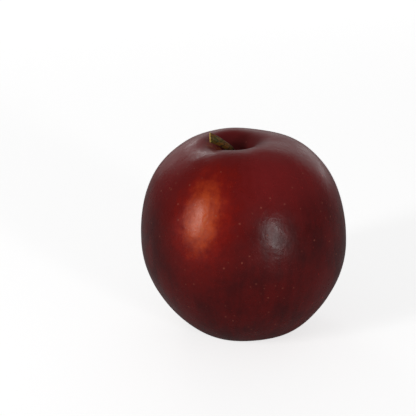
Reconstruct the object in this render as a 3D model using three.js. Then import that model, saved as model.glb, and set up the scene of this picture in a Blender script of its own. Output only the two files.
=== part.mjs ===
// A dark red apple standing on its calyx end: the fruit, its stalk, and the dried flower under it.
// Millimetres, +Z up. The origin is the middle of the spot that the apple rests on.
import * as THREE from 'three';

const { degToRad, lerp, smoothstep } = THREE.MathUtils;

// Fruit: one body of flesh and skin.
const WIDTH = 75;                 // left to right, across the widest level
const DEPTH_RATIO = 0.985;        // front to back, as a share of the width
const HEIGHT = 71.2;              // resting face to the shoulder ring
const WIDEST_LEVEL = 33.7;
const SHOULDER_RADIUS = 12.1;     // ring of highest points round the stalk hollow
const HOLLOW_DEPTH = 11.2;        // shoulder ring down to the floor of the stalk hollow
const HOLLOW_OFFSET = 2.3;        // the hollow sits this far to the left of the fruit's middle
const HOLLOW_REACH = [6, 26];     // radii between which that offset fades out
const FOOT_RADIUS = 15.3;         // middle of the flat ring that the apple stands on
const FOOT_HALF_WIDTH = 1.8;
const BASIN_DEPTH = 6;            // resting face up to the floor of the calyx basin
const LEAN = Math.tan(degToRad(1.35));  // the fruit leans a little to the left

// Handles of the section's curves: a longer handle makes a fuller curve.
const SHOULDER_INNER_HANDLE = 7.8;
const SHOULDER_OUTER_HANDLE = 9.1;
const WIDEST_UPPER_HANDLE = 27.8;
const WIDEST_LOWER_HANDLE = 18.6;
const FOOT_OUTER_HANDLE = 5.9;
const FLOOR_HANDLE = 3;           // at the floor of the hollow, the floor of the basin and inside the foot

// The rim of the hollow is a little lower where the stalk lies over it.
const RIM_DIP = 1.25;
const RIM_DIP_TURN = degToRad(205);

// Five lobes, one for each seed chamber: faint at the crown, and a little flatter between them at the base.
const LOBES = 5;
const LOBE_TURN = degToRad(30);
const SIDE_GROOVE = 0.025;        // share of the radius lost between two lobes, low on the side
const CROWN_GROOVE = 0.3;

// Stalk.
const STALK_RADIUS = 1.15;
const STALK_END_RADIUS = 1.65;
const STALK_FLARE_START = 0.55;   // share of the length after which it thickens
const STALK_SOCKET_DEPTH = 3;
const STALK_LINE = [              // middle line: left, forward and up from the floor of the hollow
  [0, 0, 0],
  [0.45, 0, 3.8],
  [1.85, 0.2, 7.3],
  [5.5, 0.6, 10.4],
  [9.6, 1, 12.5],
];
const STALK_SIDES = 14;
const STALK_STEPS = 18;

// Dried flower in the basin.
const EYE_RADIUS = 2.6;           // opening of the calyx tube
const EYE_TOP_RADIUS = 2.1;
const EYE_DEPTH = 4;
const SEPAL_COUNT = 5;
const SEPAL_HALF_WIDTH = [1.55, 0.25];      // at the base and at the tip
const SEPAL_HALF_THICKNESS = [0.35, 0.15];
const SEPAL_LINE = [              // outwards from the edge of the tube, and down from the floor of the basin
  [1.1, 0.75],
  [0.3, 2.2],
  [-1, 3.4],
  [1.2, 4.6],
];
const SEPAL_STEPS = 9;
const SEPAL_SIDES = 8;
const TUFT_DROP = 3;              // the tuft of stamens hangs this far out of the tube
const TUFT_RADIUS = 1.25;
const TUFT_SEGMENTS = 16;

const GAP = 0.35;                 // clearance between pieces that touch
const FRUIT_SEGMENTS = 60;

const SOCKET_RADIUS = STALK_RADIUS + GAP;
const HOLLOW_FLOOR = HEIGHT - HOLLOW_DEPTH;

// Half of the fruit's section. It is drawn from the stalk socket over the shoulder to the calyx tube,
// and handed over the other way round, because a lathe faces outwards when its profile runs upwards.
function fruitSection() {
  const at = (radius, level) => new THREE.Vector2(radius, level);
  const radius = WIDTH / 2;
  const socketFloor = HOLLOW_FLOOR - STALK_SOCKET_DEPTH;
  const eyeTop = BASIN_DEPTH + EYE_DEPTH;
  const footOuter = FOOT_RADIUS + FOOT_HALF_WIDTH;
  const footInner = FOOT_RADIUS - FOOT_HALF_WIDTH;
  const pieces = [
    [new THREE.LineCurve(at(0, socketFloor), at(SOCKET_RADIUS, socketFloor)), 1],
    [new THREE.LineCurve(at(SOCKET_RADIUS, socketFloor), at(SOCKET_RADIUS, HOLLOW_FLOOR)), 1],
    [new THREE.CubicBezierCurve(
      at(SOCKET_RADIUS, HOLLOW_FLOOR),
      at(SOCKET_RADIUS + FLOOR_HANDLE, HOLLOW_FLOOR),
      at(SHOULDER_RADIUS - SHOULDER_INNER_HANDLE, HEIGHT),
      at(SHOULDER_RADIUS, HEIGHT),
    ), 11],
    [new THREE.CubicBezierCurve(
      at(SHOULDER_RADIUS, HEIGHT),
      at(SHOULDER_RADIUS + SHOULDER_OUTER_HANDLE, HEIGHT),
      at(radius, WIDEST_LEVEL + WIDEST_UPPER_HANDLE),
      at(radius, WIDEST_LEVEL),
    ), 13],
    [new THREE.CubicBezierCurve(
      at(radius, WIDEST_LEVEL),
      at(radius, WIDEST_LEVEL - WIDEST_LOWER_HANDLE),
      at(footOuter + FOOT_OUTER_HANDLE, 0),
      at(footOuter, 0),
    ), 13],
    [new THREE.LineCurve(at(footOuter, 0), at(footInner, 0)), 1],
    [new THREE.CubicBezierCurve(
      at(footInner, 0),
      at(footInner - FLOOR_HANDLE, 0),
      at(EYE_RADIUS + FLOOR_HANDLE, BASIN_DEPTH),
      at(EYE_RADIUS, BASIN_DEPTH),
    ), 9],
    [new THREE.LineCurve(at(EYE_RADIUS, BASIN_DEPTH), at(EYE_TOP_RADIUS, eyeTop)), 2],
    [new THREE.LineCurve(at(EYE_TOP_RADIUS, eyeTop), at(0, eyeTop)), 1],
  ];
  const points = [];
  for (const [curve, steps] of pieces) {
    const stretch = curve.getPoints(steps);
    points.push(...(points.length ? stretch.slice(1) : stretch));
  }
  return points.reverse();
}

// Moves a point of a perfectly round fruit to its place on the grown one.
function grow(radius, level, azimuth) {
  const high = smoothstep(level, WIDEST_LEVEL, HEIGHT);
  const low = 1 - smoothstep(level, 0, WIDEST_LEVEL);
  const groove = smoothstep(radius, 0, FOOT_RADIUS) * (0.5 - 0.5 * Math.cos(LOBES * (azimuth - LOBE_TURN)));
  const dip = smoothstep(radius, 0, SHOULDER_RADIUS) * Math.max(0, Math.cos(azimuth - RIM_DIP_TURN)) ** 3;
  const offset = HOLLOW_OFFSET * high * (1 - smoothstep(radius, ...HOLLOW_REACH));
  const reach = radius * (1 - SIDE_GROOVE * low ** 2 * groove);
  return new THREE.Vector3(
    reach * Math.cos(azimuth) - offset - LEAN * (level - WIDEST_LEVEL),
    reach * Math.sin(azimuth) * DEPTH_RATIO,
    level - (CROWN_GROOVE * groove + RIM_DIP * dip) * high ** 4,
  );
}

function fruitGeometry() {
  const geometry = new THREE.LatheGeometry(fruitSection(), FRUIT_SEGMENTS);
  geometry.rotateX(Math.PI / 2);
  const position = geometry.getAttribute('position');
  for (let i = 0; i < position.count; i += 1) {
    const x = position.getX(i);
    const y = position.getY(i);
    const moved = grow(Math.hypot(x, y), position.getZ(i), Math.atan2(y, x));
    position.setXYZ(i, moved.x, moved.y, moved.z);
  }
  return geometry;
}

// Closed skin over a row of rings that all have the same number of points.
function loft(rings) {
  const sides = rings[0].length;
  const middle = (ring) => ring.reduce((sum, p) => sum.add(p), new THREE.Vector3()).divideScalar(sides);
  const points = [...rings.flat(), middle(rings[0]), middle(rings.at(-1))];
  const start = points.length - 2;
  const end = points.length - 1;
  const last = (rings.length - 1) * sides;
  const index = [];
  for (let side = 0; side < sides; side += 1) {
    const next = (side + 1) % sides;
    for (let row = 0; row < last; row += sides) {
      index.push(row + side, row + next, row + sides + next);
      index.push(row + side, row + sides + next, row + sides + side);
    }
    index.push(start, next, side);
    index.push(end, last + side, last + next);
  }
  const geometry = new THREE.BufferGeometry().setFromPoints(points);
  geometry.setIndex(index);
  geometry.computeVertexNormals();
  return geometry;
}

// An oval of points: centre + cos * across + sin * through.
function oval(centre, across, through, sides) {
  return Array.from({ length: sides }, (_, i) => {
    const turn = (i / sides) * 2 * Math.PI;
    return centre.clone().addScaledVector(across, Math.cos(turn)).addScaledVector(through, Math.sin(turn));
  });
}

// The stalk rises from its socket, bends over to the left rim, and ends in an upright cut.
function stalkGeometry() {
  const root = grow(0, HOLLOW_FLOOR - STALK_SOCKET_DEPTH, 0);
  const floor = grow(0, HOLLOW_FLOOR, 0);
  const path = new THREE.CatmullRomCurve3([
    root.clone().setZ(root.z + GAP),
    ...STALK_LINE.map(([left, forward, up]) => floor.clone().add(new THREE.Vector3(-left, -forward, up))),
  ]);
  const tip = path.getPoint(1);
  const upright = new THREE.Vector3(0, 1, 0);
  const rings = [];
  for (let step = 0; step <= STALK_STEPS; step += 1) {
    const along = step / STALK_STEPS;
    const tangent = path.getTangent(along);
    const across = upright.clone().addScaledVector(tangent, -upright.dot(tangent)).normalize();
    const through = tangent.clone().cross(across);
    const radius = lerp(STALK_RADIUS, STALK_END_RADIUS, smoothstep(along, STALK_FLARE_START, 1));
    across.multiplyScalar(radius);
    through.multiplyScalar(radius);
    const ring = oval(path.getPoint(along), across, through, STALK_SIDES);
    if (step === STALK_STEPS) {
      ring.forEach((p) => p.addScaledVector(tangent, (tip.x - p.x) / tangent.x));
    }
    rings.push(ring);
  }
  return loft(rings);
}

// A dried sepal hangs from the rim of the calyx tube, leans in over it, and curls out at its tip.
function sepalGeometry(azimuth) {
  const middle = grow(0, BASIN_DEPTH, 0);
  const outward = new THREE.Vector3(Math.cos(azimuth), Math.sin(azimuth), 0);
  const sideways = new THREE.Vector3(-Math.sin(azimuth), Math.cos(azimuth), 0);
  const down = new THREE.Vector3(0, 0, -1);
  const line = new THREE.CubicBezierCurve(
    ...SEPAL_LINE.map(([out, drop]) => new THREE.Vector2(EYE_RADIUS + out, drop)),
  );
  const rings = [];
  for (let step = 0; step <= SEPAL_STEPS; step += 1) {
    const along = step / SEPAL_STEPS;
    const point = line.getPoint(along);
    const slope = line.getTangent(along);
    const centre = middle.clone().addScaledVector(outward, point.x).addScaledVector(down, point.y);
    const halfWidth = lerp(...SEPAL_HALF_WIDTH, along ** 1.6);
    const halfThickness = lerp(...SEPAL_HALF_THICKNESS, along);
    const through = outward.clone().multiplyScalar(slope.y).addScaledVector(down, -slope.x);
    const across = sideways.clone().multiplyScalar(halfWidth);
    rings.push(oval(centre, across, through.multiplyScalar(halfThickness), SEPAL_SIDES));
  }
  return loft(rings);
}

// The withered stamens and styles stand close together in the calyx tube, so one brush-shaped body holds all.
function stamenGeometry() {
  const middle = grow(0, BASIN_DEPTH, 0);
  const top = EYE_DEPTH - GAP;
  const section = [
    new THREE.Vector2(0, -TUFT_DROP),
    new THREE.Vector2(TUFT_RADIUS * 0.6, -TUFT_DROP * 0.9),
    new THREE.Vector2(TUFT_RADIUS * 0.8, -TUFT_DROP * 0.65),
    new THREE.Vector2(TUFT_RADIUS, 0),
    new THREE.Vector2(TUFT_RADIUS * 0.9, top),
    new THREE.Vector2(0, top),
  ];
  const geometry = new THREE.LatheGeometry(section, TUFT_SEGMENTS);
  geometry.rotateX(Math.PI / 2);
  geometry.translate(middle.x, middle.y, middle.z);
  return geometry;
}

const skin = new THREE.MeshStandardMaterial({ color: 0x4a1614, roughness: 0.38, metalness: 0 });
const bark = new THREE.MeshStandardMaterial({ color: 0x6b5a26, roughness: 0.7, metalness: 0 });
const driedLeaf = new THREE.MeshStandardMaterial({ color: 0x5a4630, roughness: 0.85, metalness: 0 });
const driedStamen = new THREE.MeshStandardMaterial({ color: 0x3b2a1c, roughness: 0.9, metalness: 0 });

const apple = new THREE.Group();

function addPiece(name, geometry, material) {
  const mesh = new THREE.Mesh(geometry, material.clone());
  mesh.name = name;
  apple.add(mesh);
}

addPiece('fruit', fruitGeometry(), skin);
addPiece('stalk', stalkGeometry(), bark);
for (let i = 0; i < SEPAL_COUNT; i += 1) {
  addPiece(`sepal_${i + 1}`, sepalGeometry(LOBE_TURN + (i / SEPAL_COUNT) * 2 * Math.PI), driedLeaf);
}
addPiece('stamens', stamenGeometry(), driedStamen);

export default apple;
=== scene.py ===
# %% [markdown]
# # A dark red apple
# An apple looks simple, but three things make it real: a shape that is never quite round, a skin whose
# colour was laid on by the sun, and the dry bits at both ends. This lesson makes them in that order, around
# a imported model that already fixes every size. Everything is in metres, in the model's own frame.

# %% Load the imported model
import math

import bmesh
import bpy
from mathutils import Euler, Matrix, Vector


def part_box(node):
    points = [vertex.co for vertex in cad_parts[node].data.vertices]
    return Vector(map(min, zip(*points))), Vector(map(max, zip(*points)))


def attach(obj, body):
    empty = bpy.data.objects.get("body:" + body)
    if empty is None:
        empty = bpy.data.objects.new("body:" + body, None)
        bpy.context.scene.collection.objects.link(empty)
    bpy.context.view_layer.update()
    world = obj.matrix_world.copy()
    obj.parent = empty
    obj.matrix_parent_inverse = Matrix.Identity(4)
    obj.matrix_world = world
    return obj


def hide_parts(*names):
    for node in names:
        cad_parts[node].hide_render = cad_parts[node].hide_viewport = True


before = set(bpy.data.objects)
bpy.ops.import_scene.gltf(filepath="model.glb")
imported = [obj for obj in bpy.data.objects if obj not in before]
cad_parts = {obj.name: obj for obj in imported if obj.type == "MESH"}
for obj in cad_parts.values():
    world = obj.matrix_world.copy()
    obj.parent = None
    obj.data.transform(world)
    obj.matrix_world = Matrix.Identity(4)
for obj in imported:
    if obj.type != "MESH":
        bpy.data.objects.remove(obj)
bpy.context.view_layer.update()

MM = 0.001
print("nodes:", sorted(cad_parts))

# %% [markdown]
# ## The camera
# A long lens from about forty centimetres away keeps the apple's shoulders and base nearly parallel, as the
# eye sees them from a chair. The camera looks down by some twenty-three degrees, so that it sees into the
# stalk hollow. It is aimed a little past the apple, which then sits low and to the right in the frame.

# %% Camera
CORE = Vector((0, 0, 34.4 * MM))
CAMERA_DISTANCE = 0.42
CAMERA_ELEVATION = math.radians(23.1)
AIM_LEFT = math.radians(1.77)
AIM_UP = math.radians(1.35)

camera = bpy.data.objects.new("camera", bpy.data.cameras.new("camera"))
bpy.context.collection.objects.link(camera)
camera.data.lens = 99
camera.data.sensor_width = 36
camera.data.clip_start = 0.01
towards_camera = Vector((0, -math.cos(CAMERA_ELEVATION), math.sin(CAMERA_ELEVATION)))
camera.location = CORE + towards_camera * CAMERA_DISTANCE
straight = Euler((math.pi / 2 - CAMERA_ELEVATION, 0, 0)).to_matrix()
turned = Euler((AIM_UP, AIM_LEFT, 0)).to_matrix()
camera.rotation_euler = (straight @ turned).to_euler()
bpy.context.scene.camera = camera
print("camera at", [round(value, 3) for value in camera.location])

# %% [markdown]
# ## Small helpers for node trees
# Shape and finish are both drawn as node trees here, and both use the same Math node. A tree reads badly as
# forty lines of "new node, set socket, link", so one small class does the wiring: each call adds a node,
# plugs in what it is given, and returns the socket that comes out. Numbers go into the socket as values.

# %% The node writer
class Wiring:
    """Adds nodes to a tree from left to right."""

    def __init__(self, tree):
        self.tree = tree
        self.column = 0

    def node(self, kind, *values, **settings):
        made = self.tree.nodes.new(kind)
        made.location = (self.column * 180, (self.column % 4) * -160)
        self.column += 1
        for name, value in settings.items():
            setattr(made, name, value)
        for socket, value in zip(made.inputs, values):
            self.plug(value, socket)
        return made

    def plug(self, value, socket):
        if isinstance(value, bpy.types.NodeSocket):
            self.tree.links.new(value, socket)
        elif value is not None:
            socket.default_value = value

    def math(self, operation, *values):
        return self.node("ShaderNodeMath", *values, operation=operation).outputs[0]

    def add(self, a, b):
        return self.math("ADD", a, b)

    def less(self, a, b):
        return self.math("SUBTRACT", a, b)

    def times(self, a, b):
        return self.math("MULTIPLY", a, b)

    def smooth(self, value, low, high, to_low=0.0, to_high=1.0):
        """An S-shaped step: to_low below low, to_high above high."""
        step = self.node("ShaderNodeMapRange", interpolation_type="SMOOTHSTEP")
        for name, given in zip(("Value", "From Min", "From Max", "To Min", "To Max"),
                               (value, low, high, to_low, to_high)):
            self.plug(given, step.inputs[name])
        return step.outputs["Result"]

    def vector(self, x, y, z):
        return self.node("ShaderNodeCombineXYZ", x, y, z).outputs[0]


def srgb(red, green, blue):
    """A screen colour, 0 to 255, as the linear light that shaders mix."""
    def linear(value):
        value /= 255
        return value / 12.92 if value <= 0.04045 else ((value + 0.055) / 1.055) ** 2.4
    return (linear(red), linear(green), linear(blue), 1.0)


# %% [markdown]
# Geometry Nodes are run the same way for each piece: a tree with named inputs, a modifier that holds it for
# a moment, and the plain mesh that comes out. The inputs are set by the sockets' identifiers, because names
# are only labels.

# %% Running a geometry tree
def new_tree(name, inputs):
    """An empty geometry tree: inputs is a dict of label to default value, or None for a material."""
    tree = bpy.data.node_groups.new(name, "GeometryNodeTree")
    tree.interface.new_socket("Geometry", in_out="OUTPUT", socket_type="NodeSocketGeometry")
    for label, value in inputs.items():
        kind = {int: "NodeSocketInt", float: "NodeSocketFloat"}.get(type(value), "NodeSocketMaterial")
        socket = tree.interface.new_socket(label, in_out="INPUT", socket_type=kind)
        if value is not None:
            socket.default_value = value
    return tree


def finish_tree(wiring, geometry, material):
    """Every tree ends alike: instances made real, the material set."""
    real = wiring.node("GeometryNodeRealizeInstances", geometry).outputs[0]
    dressed = wiring.node("GeometryNodeSetMaterial", real, None, material).outputs[0]
    wiring.node("NodeGroupOutput", dressed)


def grow_mesh(name, tree, values):
    """Runs the tree on an empty mesh and returns the result as an object with a plain mesh."""
    holder = bpy.data.objects.new(name + "_growing", bpy.data.meshes.new(name + "_growing"))
    bpy.context.collection.objects.link(holder)
    modifier = holder.modifiers.new(name, "NODES")
    modifier.node_group = tree
    identifiers = {item.name: item.identifier for item in tree.interface.items_tree
                   if item.in_out == "INPUT"}
    for label, value in values.items():
        modifier[identifiers[label]] = value
    evaluated = holder.evaluated_get(bpy.context.evaluated_depsgraph_get())
    mesh = bpy.data.meshes.new_from_object(evaluated)
    mesh.name = name
    bpy.data.objects.remove(holder)
    return add_piece(name, mesh)


def add_piece(name, mesh):
    """Closes doubled points, turns faces outwards, shades smooth and links the piece at the origin."""
    edit = bmesh.new()
    edit.from_mesh(mesh)
    bmesh.ops.remove_doubles(edit, verts=edit.verts, dist=0.002 * MM)
    bmesh.ops.recalc_face_normals(edit, faces=edit.faces)
    edit.to_mesh(mesh)
    open_edges = sum(1 for edge in edit.edges if len(edge.link_faces) != 2)
    edit.free()
    mesh.shade_smooth()
    piece = bpy.data.objects.new(name, mesh)
    bpy.context.collection.objects.link(piece)
    print(f"{name}: {len(mesh.polygons)} faces, {open_edges} open edges")
    return piece


# %% [markdown]
# ## The fruit
# An apple is a turned shape that went a little wrong as it grew. It could be sculpted, or pushed about from
# a ball, but its half section is only five curves: up out of the stalk hollow, over the shoulder and down to
# the widest level, in under the base, up into the basin, and into the little tube that the flower left. So
# the section is drawn with five Bezier segments, a grid is wrapped round it, and a few formulas then move
# the points: the whole fruit leans, the hollow sits off the middle, its rim dips where the stalk lies over
# it, and five lobes show faintly, one for each seed chamber.

# %% Sizes of the fruit
fruit_low, fruit_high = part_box("fruit")
FRUIT = {
    "Radius": (fruit_high.x - fruit_low.x) / 2,
    "Depth Ratio": (fruit_high.y - fruit_low.y) / (fruit_high.x - fruit_low.x),
    "Height": fruit_high.z,
    "Widest Level": 33.7 * MM,
    "Shoulder Radius": 12.1 * MM,
    "Hollow Depth": 11.2 * MM,
    "Hollow Offset": 2.3 * MM,
    "Hollow Inner": 6 * MM,
    "Hollow Outer": 26 * MM,
    "Foot Radius": 15.3 * MM,
    "Basin Depth": 6 * MM,
    "Eye Radius": 2.4 * MM,
    "Lean": math.tan(math.radians(1.35)),
    "Rim Dip": 1.25 * MM,
    "Rim Dip Turn": math.radians(205),
    "Lobe Turn": math.radians(30),
    "Crown Groove": 0.3 * MM,
    "Side Groove": 0.025,
    "Unevenness": 0.22 * MM,
    "Around": 300,
    "Along": 290,
    "Skin": None,
}
print("fruit is", round(FRUIT["Height"] / MM, 1), "mm tall")


# %% [markdown]
# A Bezier handle says how far the line runs straight on before it bends. Long handles at the widest level
# make full, square shoulders, and the shorter ones below let the sides draw in towards the base.

# %% The half section, from the hollow's floor to the calyx tube
HOLLOW_FLOOR_HANDLE = 4 * MM
RIM_INNER_HANDLE = 7.8 * MM
RIM_OUTER_HANDLE = 9.1 * MM
WIDEST_UPPER_HANDLE = 27.8 * MM
WIDEST_LOWER_HANDLE = 18.6 * MM
FOOT_HALF_WIDTH = 1.8 * MM
FOOT_OUTER_HANDLE = 5.9 * MM
BASIN_HANDLE = 4.5 * MM
TUBE_HEIGHT = 3.5 * MM
TUBE_HANDLE = 2 * MM


def fruit_section(w, size):
    floor = w.less(size["Height"], size["Hollow Depth"])
    shoulder = size["Shoulder Radius"]
    foot_outer = w.add(size["Foot Radius"], FOOT_HALF_WIDTH)
    foot_inner = w.less(size["Foot Radius"], FOOT_HALF_WIDTH)
    tube_top = w.add(size["Basin Depth"], TUBE_HEIGHT)

    def corner(radius, level):
        return w.vector(radius, 0.0, level)

    def segment(start, start_handle, end_handle, end, steps):
        curve = w.node("GeometryNodeCurvePrimitiveBezierSegment", steps, start, start_handle, end_handle, end)
        return curve.outputs[0]

    hollow = segment(
        corner(0.0, floor),
        corner(HOLLOW_FLOOR_HANDLE, floor),
        corner(w.less(shoulder, RIM_INNER_HANDLE), size["Height"]),
        corner(shoulder, size["Height"]),
        64,
    )
    upper = segment(
        corner(shoulder, size["Height"]),
        corner(w.add(shoulder, RIM_OUTER_HANDLE), size["Height"]),
        corner(size["Radius"], w.add(size["Widest Level"], WIDEST_UPPER_HANDLE)),
        corner(size["Radius"], size["Widest Level"]),
        128,
    )
    lower = segment(
        corner(size["Radius"], size["Widest Level"]),
        corner(size["Radius"], w.less(size["Widest Level"], WIDEST_LOWER_HANDLE)),
        corner(w.add(foot_outer, FOOT_OUTER_HANDLE), 0.0),
        corner(foot_outer, 0.0),
        128,
    )
    basin = segment(
        corner(foot_outer, 0.0),
        corner(foot_inner, 0.0),
        corner(w.less(foot_inner, BASIN_HANDLE), w.times(size["Basin Depth"], 0.6)),
        corner(size["Eye Radius"], size["Basin Depth"]),
        96,
    )
    tube = segment(
        corner(size["Eye Radius"], size["Basin Depth"]),
        corner(size["Eye Radius"], w.add(size["Basin Depth"], TUBE_HANDLE)),
        corner(size["Eye Radius"], tube_top),
        corner(0.0, tube_top),
        24,
    )
    joined = w.node("GeometryNodeJoinGeometry")
    for part in (tube, basin, lower, upper, hollow):
        w.tree.links.new(part, joined.inputs[0])
    return joined.outputs[0]


# %% [markdown]
# The grid's two directions become "how far round" and "how far along the section". Each point first goes to
# its place on the round fruit, and the formulas then add the growth. A little noise along the way keeps the
# reflections from running dead straight, which is what gives a turned wooden apple away.

# %% The fruit's tree
def fruit_tree():
    tree = new_tree("Apple body", FRUIT)
    w = Wiring(tree)
    size = w.node("NodeGroupInput").outputs
    grid = w.node("GeometryNodeMeshGrid", 1.0, 1.0, size["Around"], size["Along"]).outputs[0]
    place = w.node("ShaderNodeSeparateXYZ", w.node("GeometryNodeInputPosition").outputs[0]).outputs
    azimuth = w.times(w.add(place[0], 0.5), math.tau)
    along = w.add(place[1], 0.5)

    sample = w.node("GeometryNodeSampleCurve", mode="FACTOR", use_all_curves=True)
    w.plug(fruit_section(w, size), sample.inputs["Curves"])
    w.plug(along, sample.inputs["Factor"])
    section = w.node("ShaderNodeSeparateXYZ", sample.outputs["Position"]).outputs
    radius, level = section[0], section[2]

    high = w.smooth(level, size["Widest Level"], size["Height"])
    low = w.smooth(level, 0.0, size["Widest Level"], 1.0, 0.0)
    between_lobes = w.math("MULTIPLY_ADD", w.math("COSINE", w.times(w.less(azimuth, size["Lobe Turn"]), 5.0)),
                           -0.5, 0.5)
    groove = w.times(w.smooth(radius, 0.0, size["Foot Radius"]), between_lobes)
    facing_dip = w.math("MAXIMUM", w.math("COSINE", w.less(azimuth, size["Rim Dip Turn"])), 0.0)
    dip = w.times(w.smooth(radius, 0.0, size["Shoulder Radius"]), w.math("POWER", facing_dip, 3.0))
    near_hollow = w.smooth(radius, size["Hollow Inner"], size["Hollow Outer"], 1.0, 0.0)
    offset = w.times(w.times(size["Hollow Offset"], high), near_hollow)
    lean = w.times(size["Lean"], w.less(level, size["Widest Level"]))
    side_loss = w.times(w.times(size["Side Groove"], w.math("POWER", low, 2.0)), groove)
    reach = w.times(radius, w.less(1.0, side_loss))
    fall = w.add(w.times(size["Crown Groove"], groove), w.times(size["Rim Dip"], dip))

    x = w.less(w.times(reach, w.math("COSINE", azimuth)), w.add(offset, lean))
    y = w.times(w.times(reach, w.math("SINE", azimuth)), size["Depth Ratio"])
    z = w.less(level, w.times(fall, w.math("POWER", high, 4.0)))
    shaped = w.node("GeometryNodeSetPosition", grid, None, w.vector(x, y, z)).outputs[0]
    closed = w.node("GeometryNodeMergeByDistance", shaped, None, 0.005 * MM).outputs[0]

    here = w.node("GeometryNodeInputPosition").outputs[0]
    drift = w.node("ShaderNodeTexNoise", here, None, 55.0, 1.5, 0.45, normalize=True).outputs[0]
    above_foot = w.smooth(w.node("ShaderNodeSeparateXYZ", here).outputs[2], 1 * MM, 12 * MM)
    swell = w.times(w.times(w.less(drift, 0.5), above_foot), w.times(size["Unevenness"], 2.0))
    normal = w.node("GeometryNodeInputNormal").outputs[0]
    shift = w.node("ShaderNodeVectorMath", normal, operation="SCALE")
    w.plug(swell, shift.inputs["Scale"])
    uneven = w.node("GeometryNodeSetPosition", closed, None, None, shift.outputs[0]).outputs[0]
    finish_tree(w, uneven, size["Skin"])
    return tree


# %% [markdown]
# ## The skin
# The skin is where a dark apple is won or lost. It is built up as it ripened: a maroon ground with fine
# streaks that run from stalk to calyx; one side where a leaf kept the sun off, which goes crimson, red and
# at its heart orange; pale pores scattered all over; a rusty, orange patch down in the hollow; and a thin
# wax that makes the highlights soft and a little broken. Paint on an image could do it, but patterns worked
# out from the point's own place in space need no unwrapping and have no seams.

# %% Colours of the skin
WINE = srgb(80, 18, 19)
MAROON = srgb(106, 21, 21)
# Painted light: a brighter red laid on the shoulders, towards the top, for the light that falls there from
# behind.
SHOULDER_PAINTED_LIGHT_RED = srgb(164, 42, 44)
CRIMSON = srgb(128, 20, 16)
RED = srgb(170, 32, 19)
ORANGE = srgb(228, 92, 36)
STRAW = srgb(220, 140, 62)
PORE = srgb(188, 104, 84)
RUSSET = srgb(214, 112, 48)
CALYX_GREEN = srgb(120, 96, 42)


# %% Helpers for materials
def new_material(name):
    material = bpy.data.materials.new(name)
    material.use_nodes = True
    material.node_tree.nodes.clear()
    return material, Wiring(material.node_tree)


def surface(w, **settings):
    """A Principled shader wired to the output. Plain values stay on its own sockets."""
    shader = w.node("ShaderNodeBsdfPrincipled")
    for label, value in settings.items():
        w.plug(value, shader.inputs[label.replace("_", " ")])
    w.node("ShaderNodeOutputMaterial", shader.outputs[0])
    return shader


def blend_colour(w, amount, below, above):
    mix = w.node("ShaderNodeMix", data_type="RGBA")
    w.plug(amount, mix.inputs[0])
    w.plug(below, mix.inputs[6])
    w.plug(above, mix.inputs[7])
    return mix.outputs[2]


def noise(w, vector, scale, detail=2.0, roughness=0.5, distortion=0.0):
    made = w.node("ShaderNodeTexNoise")
    w.plug(vector, made.inputs["Vector"])
    for label, value in (("Scale", scale), ("Detail", detail), ("Roughness", roughness),
                         ("Distortion", distortion)):
        made.inputs[label].default_value = value
    return made.outputs[0]


def local_space(w, point, centre, turn, size):
    """The same points measured from a centre, in turned axes, in units of size."""
    mapping = w.node("ShaderNodeMapping", point, vector_type="TEXTURE")
    mapping.inputs["Location"].default_value = centre
    mapping.inputs["Rotation"].default_value = turn
    mapping.inputs["Scale"].default_value = size
    return mapping.outputs[0]


def length(w, vector):
    return w.node("ShaderNodeVectorMath", vector, operation="LENGTH").outputs["Value"]


# %% [markdown]
# The skin is painted in layers, from the ground up, and each layer is a function that takes the colour so
# far and returns the new one. They share a few patterns: streaks that change fast going round the fruit and
# slowly going down, a fine dapple, and the spot on the skin measured from the middle of the stalk hollow.

# %% Patterns the layers share
HOLLOW_FLOOR = Vector((-2.5, 0, 60)) * MM
HOLLOW_SIZE = Vector((9, 9, 12)) * MM


def streak_pattern(w, point):
    x, y, z = w.node("ShaderNodeSeparateXYZ", point).outputs
    from_core = w.math("SQRT", w.add(w.times(x, x), w.times(y, y)))
    from_core = w.math("MAXIMUM", from_core, 1 * MM)
    round_x = w.math("DIVIDE", x, from_core)
    round_y = w.math("DIVIDE", y, from_core)
    return noise(w, w.vector(round_x, round_y, w.times(z, 9.0)), 9.0, 5.0, 0.62, 0.35)


def raggedness(w, streaks, dapple):
    """Added to a distance, it breaks up the border of a patch."""
    return w.add(w.times(w.less(streaks, 0.5), 0.55), w.times(w.less(dapple, 0.5), 0.7))


# %% [markdown]
# The ground is a dark wine red that clears to maroon in places. Towards the top it is painted brighter red, a
# painted light on the shoulders, and the walls of the hollow are painted darker, a painted shade.

# %% The ground layer
def ground_layer(w, point, streaks, deep):
    cloud = noise(w, point, 70.0, 4.0, 0.6)
    clear = w.smooth(w.add(w.times(streaks, 0.6), w.times(cloud, 0.6)), 0.45, 0.75)
    ground = blend_colour(w, clear, WINE, MAROON)
    height = w.node("ShaderNodeSeparateXYZ", point).outputs[2]
    # Painted light: the colour turns brighter red towards the top of the fruit, standing in for light on the
    # shoulders.
    ground = blend_colour(w, w.smooth(height, 45 * MM, 72 * MM, 0.0, 0.75), ground, SHOULDER_PAINTED_LIGHT_RED)
    # Painted shade: down in the hollow the colour is darkened towards wine red.
    return blend_colour(w, w.times(deep, 0.6), ground, WINE)


# %% [markdown]
# On the side that a leaf shaded, less red was laid down. The patch is an upright oval, crimson at the edge,
# then red, and orange with straw-coloured flecks at its heart. Three soft steps of one distance give it, and
# the dapple makes each border ragged, because dye never stops at a line.

# %% The pale patch
BLUSH_CENTRE = Vector((-13, -28, 54.5)) * MM
CORE_CENTRE = Vector((-13.6, -29, 53)) * MM
BLUSH_TURN = Euler((math.radians(-30), 0, math.radians(-28)))
BLUSH_SIZE = Vector((12.5, 12.5, 22)) * MM
CORE_SIZE = Vector((7.2, 7.2, 14)) * MM


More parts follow.
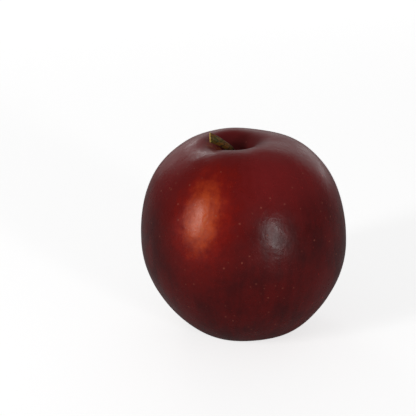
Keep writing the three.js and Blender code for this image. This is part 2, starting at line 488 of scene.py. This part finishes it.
def blush_layer(w, point, below, dapple, ragged):
    spread = w.add(length(w, local_space(w, point, BLUSH_CENTRE, BLUSH_TURN, BLUSH_SIZE)), ragged)
    red = blend_colour(w, w.smooth(spread, 0.5, 1.75, 1.0, 0.0), below, CRIMSON)
    red = blend_colour(w, w.smooth(spread, 0.15, 1.05, 1.0, 0.0), red, RED)
    core_spread = w.add(length(w, local_space(w, point, CORE_CENTRE, BLUSH_TURN, CORE_SIZE)), ragged)
    core = w.smooth(core_spread, 0.1, 1.15, 1.0, 0.0)
    red = blend_colour(w, core, red, ORANGE)
    fleck = w.times(w.smooth(dapple, 0.55, 0.72), w.smooth(core, 0.5, 1.0))
    return blend_colour(w, w.times(fleck, 0.6), red, STRAW)


# %% [markdown]
# Pores are the small pale dots that let the fruit breathe. A Voronoi pattern has one point in each cell, and
# a dot is drawn round it, fainter or not at all in some cells, so that they don't look printed.

# %% The pores
def pore_pattern(w, point):
    cells = w.node("ShaderNodeTexVoronoi", point, feature="F1")
    cells.inputs["Scale"].default_value = 330.0
    cells.inputs["Randomness"].default_value = 1.0
    chance = w.node("ShaderNodeSeparateColor", cells.outputs["Color"]).outputs[0]
    dot = w.smooth(cells.outputs["Distance"], 0.05, 0.15, 1.0, 0.0)
    return w.times(dot, w.smooth(chance, 0.0, 0.7))


# %% [markdown]
# Two places never saw the sun. Down in the stalk hollow the skin is rusty and orange, and runs up one side
# in a ray under the stalk. In the basin it stays a dull green-brown, close to the dried flower.

# %% The hollow and the basin
BASIN_CENTRE = Vector((0.6, 0, 6)) * MM
BASIN_SIZE = Vector((9, 9, 6)) * MM
RAY_BEARING = math.radians(192)


def bare_pattern(w, hollow_space, streaks):
    hollow_x, hollow_y, _ = w.node("ShaderNodeSeparateXYZ", hollow_space).outputs
    bearing = w.math("ARCTAN2", hollow_y, hollow_x)
    ray = w.times(w.smooth(w.math("COSINE", w.less(bearing, RAY_BEARING)), 0.6, 1.0), 0.92)
    spread = w.less(w.add(length(w, hollow_space), w.times(w.less(streaks, 0.5), 0.5)), ray)
    return w.smooth(spread, 0.18, 0.62, 1.0, 0.0)


def hollow_layer(w, point, below, bare):
    rusty = blend_colour(w, w.smooth(noise(w, point, 300.0, 4.0), 0.35, 0.7), RED, RUSSET)
    return blend_colour(w, bare, below, rusty)


def basin_layer(w, point, below, streaks):
    basin_space = local_space(w, point, BASIN_CENTRE, (0, 0, 0), BASIN_SIZE)
    spread = w.add(length(w, basin_space), w.times(w.less(streaks, 0.5), 0.8))
    green = w.smooth(spread, 0.3, 1.1, 1.0, 0.0)
    return blend_colour(w, w.times(green, 0.8), below, CALYX_GREEN)


# %% [markdown]
# The wax is thin and cloudy, so the gloss is a little broken up, and it is missing on the pores, on the rust
# and down in the hollow. Very shallow dimples, far too small to model, finish it as a bump.

# %% The wax and the dimples
def wax_roughness(w, point, dull):
    wax = noise(w, point, 160.0, 4.0, 0.6)
    return w.add(w.smooth(wax, 0.3, 0.7, 0.24, 0.36), w.times(dull, 0.4))


def bump_from(w, height, strength, distance):
    bump = w.node("ShaderNodeBump")
    bump.inputs["Strength"].default_value = strength
    bump.inputs["Distance"].default_value = distance
    w.plug(height, bump.inputs["Height"])
    return bump.outputs[0]


# %% The skin material
def skin_material():
    material, w = new_material("apple_skin")
    point = w.node("ShaderNodeTexCoord").outputs["Object"]
    hollow_space = local_space(w, point, HOLLOW_FLOOR, (0, 0, 0), HOLLOW_SIZE)
    # The inside of the hollow: it takes a painted shade in the colour, and a duller gloss.
    deep = w.smooth(length(w, hollow_space), 1.15, 1.75, 1.0, 0.0)
    streaks = streak_pattern(w, point)
    dapple = noise(w, point, 330.0, 3.0, 0.6)
    pores = pore_pattern(w, point)
    bare = bare_pattern(w, hollow_space, streaks)

    colour = ground_layer(w, point, streaks, deep)
    colour = blush_layer(w, point, colour, dapple, raggedness(w, streaks, dapple))
    colour = blend_colour(w, w.times(pores, 0.43), colour, PORE)
    colour = hollow_layer(w, point, colour, bare)
    colour = basin_layer(w, point, colour, streaks)

    dull = w.math("MAXIMUM", w.math("MAXIMUM", w.times(pores, 0.4), bare), deep)
    fine = w.times(noise(w, point, 900.0, 2.0), 0.6)
    dimples = w.add(fine, noise(w, point, 260.0, 2.0))
    relief = bump_from(w, w.add(dimples, w.times(pores, -0.1)), 0.25, 0.4 * MM)
    surface(w, Base_Color=colour, Roughness=wax_roughness(w, point, dull), Normal=relief, IOR=1.33)
    return material


# %% Grow the fruit
skin = skin_material()
fruit_values = dict(FRUIT, Skin=skin)
fruit = grow_mesh("apple_body", fruit_tree(), fruit_values)
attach(fruit, "root")
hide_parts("fruit")

# %% [markdown]
# ## The stalk
# A picked stalk is green-brown bark, a little ribbed, thicker where it was joined to the tree, and ends in a
# pale, upright wound. A curve with a circle swept along it gives a pipe. Here the same idea is written out
# ring by ring in a geometry tree, so that the ribs, the knots and the thick end can follow one formula.

# %% Stalk route and sizes
stalk_low, stalk_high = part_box("stalk")
STALK_END = Vector((stalk_low.x, -1 * MM, stalk_high.z - 1.75 * MM))
floor_point = Vector((-2.47, 0, 60)) * MM
STALK_ROUTE = [
    floor_point - Vector((0, 0, 2.4 * MM)),
    floor_point,
    floor_point + Vector((-0.45, 0, 3.8)) * MM,
    floor_point + Vector((-1.85, -0.2, 7.3)) * MM,
    floor_point + Vector((-5.5, -0.6, 10.4)) * MM,
    STALK_END,
]
STALK = {
    "Radius": 1.12 * MM,
    "End Radius": 1.55 * MM,
    "Rib Depth": 0.13 * MM,
    "Around": 48,
    "Along": 150,
    "Bark": None,
}
print("stalk end at", [round(value / MM, 1) for value in STALK_END])


# %% The stalk's tree
def stalk_tree(route):
    tree = new_tree("Apple stalk", STALK)
    w = Wiring(tree)
    size = w.node("NodeGroupInput").outputs
    line = w.node("GeometryNodeObjectInfo", route, transform_space="RELATIVE").outputs["Geometry"]
    grid = w.node("GeometryNodeMeshGrid", 1.0, 1.0, size["Around"], size["Along"]).outputs[0]
    place = w.node("ShaderNodeSeparateXYZ", w.node("GeometryNodeInputPosition").outputs[0]).outputs
    turn = w.times(w.add(place[0], 0.5), math.tau)
    along = w.add(place[1], 0.5)

    sample = w.node("GeometryNodeSampleCurve", mode="FACTOR")
    w.plug(line, sample.inputs["Curves"])
    w.plug(along, sample.inputs["Factor"])
    tangent = sample.outputs["Tangent"]
    side = w.node("ShaderNodeVectorMath", (0, 1, 0), tangent, operation="CROSS_PRODUCT").outputs[0]
    side = w.node("ShaderNodeVectorMath", side, operation="NORMALIZE").outputs[0]
    across = w.node("ShaderNodeVectorMath", tangent, side, operation="CROSS_PRODUCT").outputs[0]

    thick = w.smooth(along, 0.62, 1.0)
    swollen = w.math("MULTIPLY_ADD", thick, w.less(size["End Radius"], size["Radius"]), size["Radius"])
    foot = w.times(w.smooth(along, 0.0, 0.22, 1.0, 0.0), 0.25 * MM)
    wander = w.node("ShaderNodeTexNoise", w.vector(0.0, 0.0, along), None, 9.0, 2.0, 0.5).outputs[0]
    twist = w.add(turn, w.times(wander, 1.6))
    ribs = w.add(w.math("COSINE", w.times(twist, 5.0)), w.times(w.math("COSINE", w.times(twist, 9.0)), 0.5))
    closing = w.math("MINIMUM", w.smooth(along, 0.0, 0.01), w.smooth(along, 0.992, 1.0, 1.0, 0.0))
    ring = w.add(w.add(swollen, foot), w.times(ribs, size["Rib Depth"]))
    ring = w.times(ring, closing)

    def scaled(vector, factor):
        made = w.node("ShaderNodeVectorMath", vector, operation="SCALE")
        w.plug(factor, made.inputs["Scale"])
        return made.outputs[0]

    spoke = w.node("ShaderNodeVectorMath", scaled(across, w.times(ring, w.math("COSINE", turn))),
                   scaled(side, w.times(ring, w.math("SINE", turn))), operation="ADD").outputs[0]
    ahead = w.node("ShaderNodeSeparateXYZ", spoke).outputs[0]
    slant = w.smooth(along, 0.86, 0.99)
    tangent_x = w.node("ShaderNodeSeparateXYZ", tangent).outputs[0]
    push = w.math("DIVIDE", w.times(w.times(ahead, slant), -1.0), tangent_x)
    upright = w.node("ShaderNodeVectorMath", spoke, scaled(tangent, push), operation="ADD").outputs[0]
    position = w.node("ShaderNodeVectorMath", sample.outputs["Position"], upright, operation="ADD").outputs[0]
    shaped = w.node("GeometryNodeSetPosition", grid, None, position).outputs[0]
    closed = w.node("GeometryNodeMergeByDistance", shaped, None, 0.002 * MM).outputs[0]
    finish_tree(w, closed, size["Bark"])
    return tree


# %% [markdown]
# The bark is olive green where it stayed alive and brown where it dried, in patches, with dark lines of grain
# along it. A noise stretched along the stalk gives the grain. The wound at the end is a place, not a pattern:
# everything past a plane near the end turns the colour of pale wood, with a ragged border.

# %% The stalk's material
BARK_GREEN = srgb(78, 82, 20)
BARK_BROWN = srgb(132, 82, 24)
BARK_DARK = srgb(30, 20, 10)
WOUND = srgb(222, 184, 96)


def bark_material():
    material, w = new_material("stalk_bark")
    point = w.node("ShaderNodeTexCoord").outputs["Object"]
    x = w.node("ShaderNodeSeparateXYZ", point).outputs[0]
    along_stalk = local_space(w, point, (0, 0, 0), (0, math.radians(-40), 0), (4, 1, 1))
    grain = noise(w, along_stalk, 1300.0, 4.0, 0.65)
    patch = noise(w, point, 260.0, 3.0, 0.5, 0.6)
    colour = blend_colour(w, w.smooth(patch, 0.4, 0.62), BARK_GREEN, BARK_BROWN)
    colour = blend_colour(w, w.smooth(grain, 0.47, 0.66), colour, BARK_DARK)
    wound = w.smooth(w.add(x, w.times(w.less(grain, 0.5), 0.6 * MM)),
                     STALK_END.x + 0.25 * MM, STALK_END.x + 0.75 * MM, 1.0, 0.0)
    colour = blend_colour(w, wound, colour, WOUND)
    relief = bump_from(w, w.add(grain, w.times(patch, 0.5)), 0.5, 0.2 * MM)
    roughness = w.smooth(grain, 0.3, 0.7, 0.5, 0.75)
    surface(w, Base_Color=colour, Roughness=roughness, Normal=relief)
    return material


# %% Grow the stalk
def route_object(name, points):
    """A smooth curve through the points, for a tree to sample."""
    curve = bpy.data.curves.new(name, "CURVE")
    curve.dimensions = "3D"
    curve.resolution_u = 32
    spline = curve.splines.new("BEZIER")
    spline.bezier_points.add(len(points) - 1)
    for knot, place in zip(spline.bezier_points, points):
        knot.co = place
        knot.handle_left_type = knot.handle_right_type = "AUTO"
    made = bpy.data.objects.new(name, curve)
    bpy.context.collection.objects.link(made)
    return made


bark = bark_material()
route = route_object("stalk_route", STALK_ROUTE)
stalk = grow_mesh("apple_stalk", stalk_tree(route), dict(STALK, Bark=bark))
bpy.data.objects.remove(route)
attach(stalk, "root")
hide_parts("stalk")

# %% [markdown]
# ## The dried flower
# Underneath, in the basin, the flower is still there: five brown sepals curled over the opening, and a tuft
# of withered threads inside. A sepal is a strip that narrows to a point, cupped across and curled along, so
# each is a small grid, bent and given a thickness. The threads repeat, so a geometry tree sets them
# out on a spiral, as stamens stand in a flower.

# %% Sepals
SEPAL_COLUMNS = 12
SEPAL_ROWS = 26


def sepal_mesh(name, azimuth, index):
    """A cupped, curled strip, drawn as a ring of points at each step and closed at both ends."""
    low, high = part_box(f"sepal_{index}")
    centre = Vector((0.8, 0, 6)) * MM
    outward = Vector((math.cos(azimuth), math.sin(azimuth), 0))
    sideways = Vector((-outward.y, outward.x, 0))
    edit = bmesh.new()
    rings = []
    for row in range(SEPAL_ROWS):
        t = row / (SEPAL_ROWS - 1)
        half_width = 1.5 * MM * (1 - t ** 1.5) ** 0.8 + 0.02 * MM
        ripple = 0.12 * MM * math.sin(9 * t + 2.1 * index)
        reach = (3.55 - 3.3 * t + 3.9 * t ** 3) * MM + ripple
        drop = (-0.1 + 4.6 * t - 0.25 * t ** 2) * MM
        middle = centre + outward * reach - Vector((0, 0, drop))
        ring = []
        for side in range(2 * SEPAL_COLUMNS):
            turn = math.tau * side / (2 * SEPAL_COLUMNS)
            across = math.cos(turn)
            cup = 0.35 * MM * across ** 2 * (1 - t)
            thickness = 0.14 * MM * math.sin(turn) * (1 - 0.6 * t)
            ring.append(edit.verts.new(middle + sideways * across * half_width + outward * (thickness - cup)))
        rings.append(ring)
    for lower, upper in zip(rings, rings[1:]):
        for side in range(len(lower)):
            after = (side + 1) % len(lower)
            edit.faces.new((lower[side], lower[after], upper[after], upper[side]))
    edit.faces.new(rings[0])
    edit.faces.new(rings[-1])
    mesh = bpy.data.meshes.new(name)
    edit.to_mesh(mesh)
    edit.free()
    print(name, "CAD box", [round((b - a) / MM, 1) for a, b in zip(low, high)])
    return mesh


# %% [markdown]
# Dry leaf has no gloss left. Fine fibres in two browns and a few grey, weathered patches are enough, and one
# function serves the sepals and the threads, because only the scale of the fibres differs.

# %% The dry leaf material
DRY_BROWN = srgb(96, 70, 44)
DRY_DARK = srgb(48, 34, 24)
DRY_GREY = srgb(140, 122, 92)


def dry_material(name, scale, light, dark):
    material, w = new_material(name)
    point = w.node("ShaderNodeTexCoord").outputs["Object"]
    fibres = noise(w, point, scale, 5.0, 0.65)
    down = noise(w, point, scale * 0.25, 2.0)
    colour = blend_colour(w, w.smooth(fibres, 0.35, 0.65), dark, light)
    colour = blend_colour(w, w.times(w.smooth(down, 0.5, 0.75), 0.6), colour, DRY_GREY)
    surface(w, Base_Color=colour, Roughness=0.85, Normal=bump_from(w, fibres, 0.6, 0.15 * MM))
    return material


# %% Place the sepals
sepal_finish = dry_material("dry_sepal", 900.0, DRY_BROWN, DRY_DARK)
for number in range(5):
    azimuth = math.radians(30) + math.tau * number / 5
    name = f"sepal_leaf_{number + 1}"
    sepal = add_piece(name, sepal_mesh(name, azimuth, number + 1))
    sepal.data.materials.append(sepal_finish)
    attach(sepal, "root")
    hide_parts(f"sepal_{number + 1}")

# %% [markdown]
# The stamens are threads with a small knob each. Some twenty stand on a sunflower spiral, which fills a round
# opening evenly, and each leans outwards a little more the further out it stands.

# %% Stamens
STAMENS = {
    "Count": 22,
    "Spread": 1.15 * MM,
    "Length": 5.6 * MM,
    "Thickness": 0.13 * MM,
    "Seed": 7,
    "Thread": None,
}


def move_node(w, geometry, by):
    made = w.node("GeometryNodeTransform")
    w.plug(geometry, made.inputs["Geometry"])
    w.plug(by, made.inputs["Translation"])
    return made.outputs[0]


def stamen_tree():
    tree = new_tree("Apple stamens", STAMENS)
    w = Wiring(tree)
    size = w.node("NodeGroupInput").outputs
    index = w.node("GeometryNodeInputIndex").outputs[0]
    order = w.add(index, 0.5)
    distance = w.times(w.math("SQRT", w.math("DIVIDE", order, size["Count"])), size["Spread"])
    angle = w.times(order, math.pi * (3 - math.sqrt(5)))
    spot = w.vector(w.times(distance, w.math("COSINE", angle)), w.times(distance, w.math("SINE", angle)), 0.0)
    points = w.node("GeometryNodePoints", size["Count"], spot).outputs[0]

    tip = w.vector(0.1 * MM, 0.1 * MM, w.times(size["Length"], -1.0))
    line = w.node("GeometryNodeCurvePrimitiveBezierSegment", 10, (0, 0, 0), (0, 0, -2 * MM),
                  (0.3 * MM, 0, -4 * MM), tip).outputs[0]
    ring = w.node("GeometryNodeCurvePrimitiveCircle", 6, mode="RADIUS")
    w.plug(size["Thickness"], ring.inputs["Radius"])
    thread = w.node("GeometryNodeCurveToMesh")
    w.plug(line, thread.inputs["Curve"])
    w.plug(ring.outputs[0], thread.inputs["Profile Curve"])
    w.plug(True, thread.inputs["Fill Caps"])
    knob = w.node("GeometryNodeMeshIcoSphere", 0.26 * MM, 2).outputs[0]
    knob = move_node(w, knob, tip)
    joined = w.node("GeometryNodeJoinGeometry")
    w.tree.links.new(thread.outputs[0], joined.inputs[0])
    w.tree.links.new(knob, joined.inputs[0])

    random = w.node("FunctionNodeRandomValue", data_type="FLOAT")
    w.plug(0.72, random.inputs[2])
    w.plug(1.0, random.inputs[3])
    w.plug(size["Seed"], random.inputs["Seed"])
    lean = w.times(distance, 90.0)
    tilt_x = w.times(w.math("SINE", angle), lean)
    tilt_y = w.times(w.math("COSINE", angle), w.times(lean, -1.0))
    tilt = w.vector(tilt_x, tilt_y, angle)
    stood = w.node("GeometryNodeInstanceOnPoints")
    w.plug(points, stood.inputs["Points"])
    w.plug(joined.outputs[0], stood.inputs["Instance"])
    rotation = w.node("FunctionNodeEulerToRotation", tilt).outputs[0]
    w.plug(rotation, stood.inputs["Rotation"])
    scale = w.vector(1.0, 1.0, random.outputs[1])
    w.plug(scale, stood.inputs["Scale"])
    centred = move_node(w, stood.outputs[0], (0.8 * MM, 0, 9.2 * MM))
    finish_tree(w, centred, size["Thread"])
    return tree


thread_finish = dry_material("dry_thread", 1400.0, DRY_BROWN, DRY_DARK)
stamens = grow_mesh("stamen_threads", stamen_tree(), dict(STAMENS, Thread=thread_finish))
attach(stamens, "root")
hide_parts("stamens")

# %% [markdown]
# ## Light and ground
# The apple stands on a pale table that runs out of sight. Two tall, soft lights stand in front, one to each
# side, and give the two upright highlights; three more behind it draw the pale edges. A white table would
# also fill the dark skin with white from below, and wash it out. So the table and the surroundings are pale
# where the camera looks at them, and give back less light than that to the apple, as dark fruit beside it
# would.

# %% Floor
FLOOR_HALF = 3.0
FLOOR_PALE = (0.9, 0.9, 0.9, 1)
FLOOR_GIVES_BACK = (0.6, 0.6, 0.6, 1)
floor_mesh = bpy.data.meshes.new("floor")
floor_mesh.from_pydata([(-FLOOR_HALF, -FLOOR_HALF, 0), (FLOOR_HALF, -FLOOR_HALF, 0),
                        (FLOOR_HALF, FLOOR_HALF, 0), (-FLOOR_HALF, FLOOR_HALF, 0)], [], [(0, 1, 2, 3)])
ground = bpy.data.objects.new("floor", floor_mesh)
bpy.context.collection.objects.link(ground)
floor_finish, w = new_material("pale_floor")
seen_directly = w.node("ShaderNodeLightPath").outputs["Is Camera Ray"]
floor_colour = blend_colour(w, seen_directly, FLOOR_GIVES_BACK, FLOOR_PALE)
shader = surface(w, Base_Color=floor_colour, Roughness=0.9, Emission_Color=(1, 1, 1, 1))
w.plug(w.times(seen_directly, 0.7), shader.inputs["Emission Strength"])
floor_mesh.materials.append(floor_finish)
print("floor is", 2 * FLOOR_HALF, "m square")


# %% Lights
def soft_light(name, azimuth, elevation, distance, width, height, power):
    """An upright area light that faces the apple. Azimuth 0 is in front, positive to the right."""
    light = bpy.data.lights.new(name, "AREA")
    light.shape = "RECTANGLE"
    light.size = width
    light.size_y = height
    light.energy = power
    made = bpy.data.objects.new(name, light)
    bpy.context.collection.objects.link(made)
    a, e = math.radians(azimuth), math.radians(elevation)
    away = Vector((math.sin(a) * math.cos(e), -math.cos(a) * math.cos(e), math.sin(e)))
    made.location = CORE + away * distance
    made.rotation_euler = away.to_track_quat("Z", "Y").to_euler()
    return made


soft_light("left_window", -53, 18, 0.9, 0.12, 0.44, 2.2)
soft_light("right_window", 34, 7.5, 0.9, 0.1, 0.32, 2.1)
soft_light("back_left", -159, 27, 1.1, 0.3, 0.12, 0.4)
soft_light("back_right", 146, 6, 1.0, 0.6, 0.2, 0.2)
soft_light("backdrop", 178, 19, 1.3, 2.2, 0.8, 3.0)

world = bpy.data.worlds.new("studio")
bpy.context.scene.world = world
world.use_nodes = True
world.node_tree.nodes.clear()
w = Wiring(world.node_tree)
seen_directly = w.node("ShaderNodeLightPath").outputs["Is Camera Ray"]
strength = w.math("MULTIPLY_ADD", seen_directly, 0.8, 0.13)
w.node("ShaderNodeOutputWorld", w.node("ShaderNodeBackground", (1, 1, 1, 1), strength).outputs[0])
bpy.context.scene.view_settings.view_transform = "Standard"
